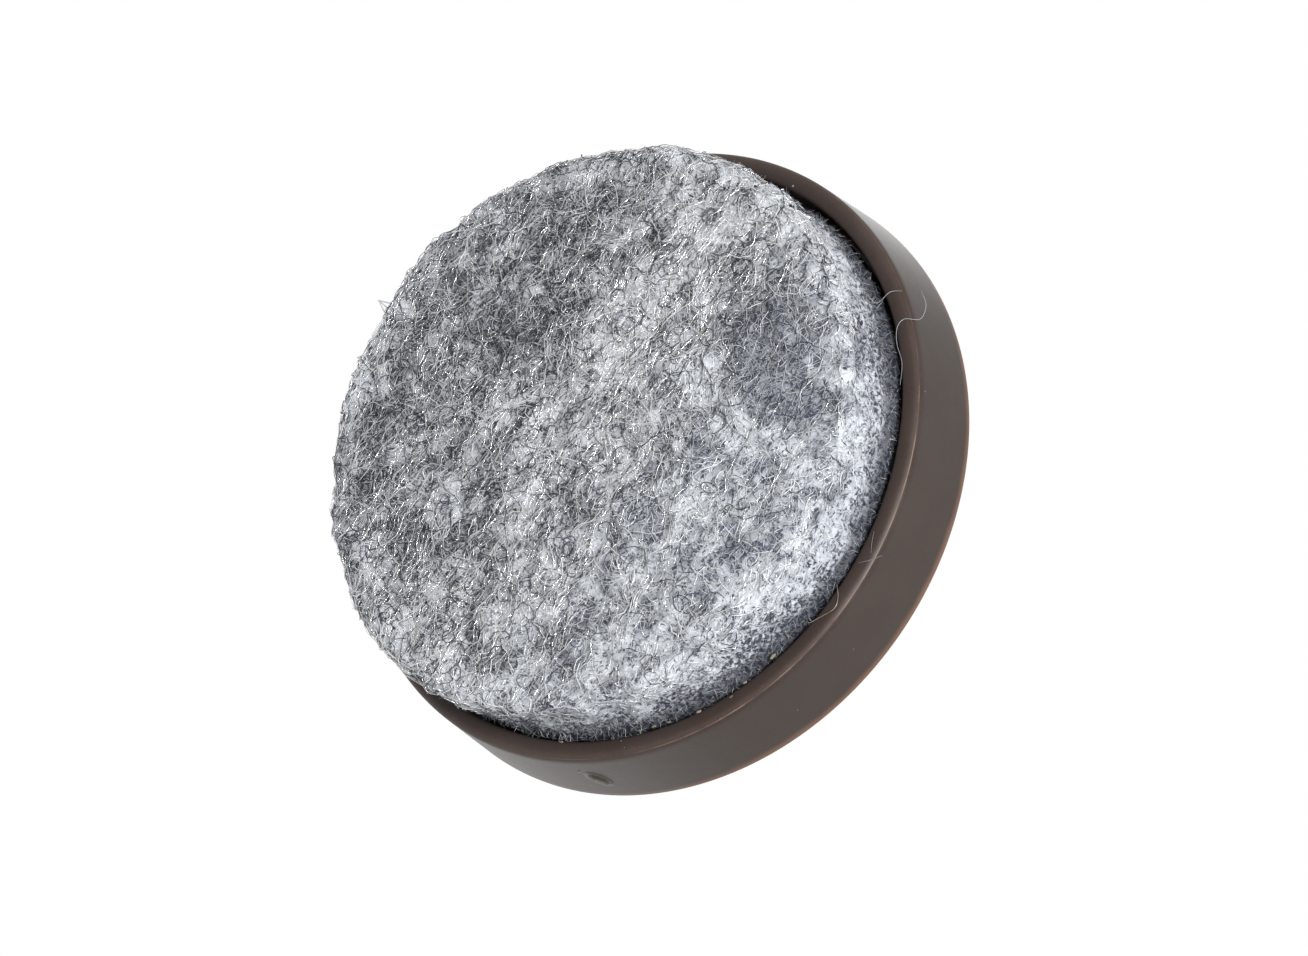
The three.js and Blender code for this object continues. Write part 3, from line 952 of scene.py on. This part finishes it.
POLYESTERS = {  # dark and light tone, roughness and lustre
    "white_polyester": ((0.42, 0.44, 0.48, 1), (0.93, 0.95, 0.98, 1), 0.22, 0.15),
    "bright_polyester": ((0.62, 0.63, 0.64, 1), (0.98, 0.98, 0.97, 1), 0.13, 0.6),
    "grey_polyester": ((0.20, 0.21, 0.23, 1), (0.62, 0.64, 0.67, 1), 0.28, 0.1),
    "navy_polyester": ((0.010, 0.011, 0.016, 1), (0.028, 0.034, 0.066, 1), 0.28, 0.0),
}
fibre_materials = [polyester(name, *look) for name, look in POLYESTERS.items()]
white_fibre, bright_fibre, grey_fibre, navy_fibre = fibre_materials

SQUARE_METRE = 1e6  # square millimetres in one
fibres = fibre_tree()
SOLE_FIBRES = {
    "Gain Toward -Y": 0.0,
    "Lowest Root": -1 * MM,
    "Highest Root": 1.2 * MM,
    "Steps": 8,
    "Step Length": 0.22 * MM,
    "Curl": 0.45,
    "Wobble": 0.5,
    "Combed": 0.3,
    "Radius": 0.018 * MM,
    "Lift": 0.12 * MM,
    "Stand": 0.0,
}
SIDE_FIBRES = {
    **SOLE_FIBRES,
    "Lowest Root": 0.5 * MM,
    "Highest Root": (rim_level + 0.4) * MM,
    "Steps": 2,
    "Step Length": 0.18 * MM,
    "Radius": 0.014 * MM,
    "Lift": 0.04 * MM,
    "Stand": 0.14 * MM,
}
# Each group has its fibre, how many root in a square millimetre where the blend is dark and where it is
# white, what differs from the sole's or the side's fibres, and which of these they are.
FIBRE_GROUPS = {
    "white_fibres_short": (white_fibre, 1.4, 9.0, {
        "Steps": 6, "Lift": 0.07 * MM, "Seed": 11,
    }, SOLE_FIBRES),
    "white_fibres_middle": (white_fibre, 1.2, 5.5, {
        "Steps": 8, "Seed": 12,
    }, SOLE_FIBRES),
    "bright_fibres_long": (bright_fibre, 1.5, 4.4, {
        "Gain Toward -Y": -0.85, "Highest Root": 0.5 * MM, "Steps": 15, "Step Length": 0.27 * MM,
        "Curl": 0.12, "Wobble": 0.25, "Combed": 0.48, "Radius": 0.017 * MM, "Lift": 0.18 * MM, "Seed": 17,
    }, SOLE_FIBRES),
    "bright_fibres_short": (bright_fibre, 1.5, 4.5, {
        "Gain Toward -Y": -0.6, "Steps": 5, "Curl": 0.2, "Wobble": 0.3, "Combed": 0.45, "Seed": 18,
    }, SOLE_FIBRES),
    "bright_glints": (bright_fibre, 3.5, 8.0, {
        "Gain Toward -Y": -0.5, "Steps": 2, "Step Length": 0.09 * MM, "Combed": 0.45,
        "Radius": 0.020 * MM, "Lift": 0.22 * MM, "Seed": 20,
    }, SOLE_FIBRES),
    "grey_fibres": (grey_fibre, 5.5, 2.5, {
        "Lift": 0.10 * MM, "Seed": 13,
    }, SOLE_FIBRES),
    "navy_fibres": (navy_fibre, 4.2, 2.8, {
        "Gain Toward -Y": -0.85, "Steps": 14, "Step Length": 0.16 * MM, "Curl": 0.6, "Wobble": 0.35,
        "Radius": 0.018 * MM, "Lift": 0.20 * MM, "Seed": 14,
    }, SOLE_FIBRES),
    "navy_neps": (navy_fibre, 4.5, 4.5, {
        "Gain Toward -Y": 2.6, "Highest Root": 1.8 * MM, "Steps": 3, "Step Length": 0.08 * MM,
        "Wobble": 1.1, "Radius": 0.021 * MM, "Lift": 0.15 * MM, "Seed": 19,
    }, SOLE_FIBRES),
    "side_fibres_navy": (navy_fibre, 32.0, 18.0, {"Seed": 15}, SIDE_FIBRES),
    "side_fibres_white": (white_fibre, 12.0, 30.0, {"Seed": 16}, SIDE_FIBRES),
    "foot_fringe": (grey_fibre, 18.0, 14.0, {
        "Lowest Root": (rim_level - 0.9) * MM, "Steps": 3, "Step Length": 0.13 * MM,
        "Radius": 0.011 * MM, "Stand": 0.34 * MM, "Seed": 21,
    }, SIDE_FIBRES),
}
for name, (material, where_dark, where_white, changes, base) in FIBRE_GROUPS.items():
    values = {
        **base,
        **changes,
        "Density Where Dark": where_dark * SQUARE_METRE,
        "Density Where White": where_white * SQUARE_METRE,
        "Material": material,
    }
    fibre_mesh = grown(name, felt_mesh.copy(), fibres, values)
    piece(name, fibre_mesh, material)


# The stray fibres and lint
# Fibres that came loose from the felt's edge: two lie over the rim and the wall, and a twisted tuft of three
# points out at the far side. Two short ones cross on the rim's corner, and specks of lint stick to the cup.

STRAY_RADIUS = 0.011
STRAY_PATHS = (
    ((-10.78, -5.93, 2.2), (-10.67, -6.50, 2.2), (-10.64, -7.01, 2.3), (-11.34, -6.85, 2.8),
     (-11.63, -7.32, 2.8)),
    ((-8.34, -10.17, 2.5), (-9.13, -9.62, 2.5), (-9.67, -8.87, 2.5), (-10.22, -8.41, 2.5),
     (-10.69, -8.37, 2.6), (-11.05, -8.96, 2.7), (-11.66, -8.72, 2.8), (-12.04, -8.11, 2.8)),
)
CROSSED_PATHS = (
    ((-2.91, -12.78, 3.14), (-2.46, -13.03, 3.14), (-2.11, -13.27, 3.15)),
    ((-1.49, -13.03, 3.14), (-1.86, -13.43, 3.15), (-2.29, -13.77, 3.17)),
)
TUFT_TIP = (0.93, 13.84, 0.30)
TUFT_ROOTS = ((0.62, 12.70, 0.10), (0.95, 12.80, 0.35), (1.30, 12.66, 0.22))
LINT_SPECKS = (  # distance from the axis, heading in degrees, height, and half length
    (13.77, -28.7, 4.50, 0.08), (13.02, -40.4, 3.19, 0.04), (12.90, -43.9, 3.19, 0.04),
    (13.32, -41.1, 3.19, 0.03), (13.69, -129.7, 3.65, 0.04), (13.83, -84.0, 5.30, 0.03),
    (13.85, -70.0, 5.60, 0.04),
)

stray_parts = [strand(path, STRAY_RADIUS) for path in STRAY_PATHS]
for root in TUFT_ROOTS:
    waist = Vector(root).lerp(Vector(TUFT_TIP), 0.5) + Vector((0.03, 0, 0.02))
    stray_parts.append(strand((root, waist, TUFT_TIP), 3 * STRAY_RADIUS))
piece("stray_fibres", outward(joined("stray_fibres", stray_parts)), white_fibre)
lint_parts = [strand(path, STRAY_RADIUS) for path in CROSSED_PATHS]
lint_parts += [bead(*speck) for speck in LINT_SPECKS]
piece("lint", outward(joined("lint", lint_parts)), grey_fibre)


# The studio
# A white sweep with soft light all round, one softbox beside the camera and one behind. The glide stands on
# a pale floor, which is seen from above only, because the camera looks at the felt's sole from below.

FLOOR_SIZE = 2.0  # in metres, as the softboxes are
AMBIENT = 0.60
REFLECTED_ROOM = 0.48
BRIGHT_SIDE = (0.30, 0.95, 0.0)
FLOOR_WHITE = (0.86, 0.86, 0.86, 1)
SOFTBOXES = {  # place, side, and power in watts
    "softbox_beside_camera": ((-0.028, -0.0985, -0.0767), 0.036, 0.18),
    "softbox_behind": ((-0.086, 0.216, 0.277), 0.20, 0.16),
}

FOCAL_PIXELS = 4000
IMAGE_WIDTH = 1308
SENSOR_WIDTH = 36.0
CAMERA_TILT = math.radians(38.19)  # between the nail's axis and the line of sight
CAMERA_ROLL = math.radians(124.98)
RIM_DISTANCE = 167.69
RIM_LEFT_OF_AXIS = 1.08
RIM_ABOVE_AXIS = 1.24


def studio_world():
    """White for what the camera sees, even light on surfaces, and reflections darker on one side."""
    world = bpy.data.worlds.new("studio")
    world.use_nodes = True
    graph = Graph(world.node_tree)
    ray = graph.add("ShaderNodeLightPath")
    direction = graph.add("ShaderNodeTexCoord").outputs["Generated"]
    away = graph.vector("DOT_PRODUCT", direction, BRIGHT_SIDE)
    mirrored = graph.remap(away, -0.2, 0.45, REFLECTED_ROOM, 1.0)
    gloss = graph.maths("MAXIMUM", ray.outputs["Is Glossy Ray"], ray.outputs["Is Transmission Ray"])
    strength = graph.remap(gloss, 0.0, 1.0, AMBIENT, mirrored, smooth=False)
    strength = graph.remap(ray.outputs["Is Camera Ray"], 0.0, 1.0, strength, 1.0, smooth=False)
    graph.feed(world.node_tree.nodes["Background"], {"Color": (1, 1, 1, 1), "Strength": strength})
    bpy.context.scene.world = world


def pale_floor():
    """A pale sweep that is opaque from above and clear from below."""
    material, graph, shader, _ = new_material("pale_floor")
    graph.feed(shader, {"Base Color": FLOOR_WHITE, "Roughness": 0.9, "Specular IOR Level": 0.0})
    clear = graph.add("ShaderNodeBsdfTransparent")
    from_below = graph.add("ShaderNodeNewGeometry").outputs["Backfacing"]
    mixed = graph.add("ShaderNodeMixShader", {"Fac": from_below})
    graph.tree.links.new(shader.outputs["BSDF"], mixed.inputs[1])
    graph.tree.links.new(clear.outputs["BSDF"], mixed.inputs[2])
    graph.tree.links.new(mixed.outputs["Shader"], graph.tree.nodes["Material Output"].inputs["Surface"])
    return material


def floor():
    """The floor under the sole. It is seen, but takes no part in the lighting."""
    half = FLOOR_SIZE / 2
    mesh = bpy.data.meshes.new("floor")
    corners = [(-half, -half, 0), (half, -half, 0), (half, half, 0), (-half, half, 0)]
    mesh.from_pydata(corners, [], [(0, 1, 2, 3)])
    made = in_scene("floor", mesh)
    mesh.materials.append(pale_floor())
    for rays in ("shadow", "diffuse", "glossy", "transmission"):
        setattr(made, "visible_" + rays, False)


def softbox(name, place, size, power):
    """A square area light, aimed at the glide."""
    light = bpy.data.lights.new(name, "AREA")
    light.size = size
    light.energy = power
    made = in_scene(name, light)
    made.location = place
    made.rotation_mode = "QUATERNION"
    made.rotation_quaternion = Vector(place).to_track_quat("Z", "Y")


def photographic_camera():
    """The camera: from below, rolled, with the rim's centre a little up and left of the picture's centre."""
    forward = Vector((0, math.sin(CAMERA_TILT), math.cos(CAMERA_TILT)))
    level_right = Vector((1, 0, 0))
    level_up = level_right.cross(forward)
    right = level_right * math.cos(CAMERA_ROLL) + level_up * math.sin(CAMERA_ROLL)
    up = level_up * math.cos(CAMERA_ROLL) - level_right * math.sin(CAMERA_ROLL)
    from_rim = right * RIM_LEFT_OF_AXIS - up * RIM_ABOVE_AXIS - forward * RIM_DISTANCE
    data = bpy.data.cameras.new("camera")
    data.sensor_fit = "HORIZONTAL"
    data.sensor_width = SENSOR_WIDTH
    data.lens = FOCAL_PIXELS / IMAGE_WIDTH * SENSOR_WIDTH
    data.clip_start, data.clip_end = 0.01, 10
    camera = in_scene("camera", data)
    axes = Matrix((right, up, -forward)).transposed().to_4x4()
    camera.matrix_world = Matrix.Translation((Vector((0, 0, rim_level)) + from_rim) * MM) @ axes
    bpy.context.scene.camera = camera


studio_world()
floor()
for name, (place, side, power) in SOFTBOXES.items():
    softbox(name, place, side, power)
photographic_camera()
bpy.context.scene.view_settings.view_transform = "Standard"
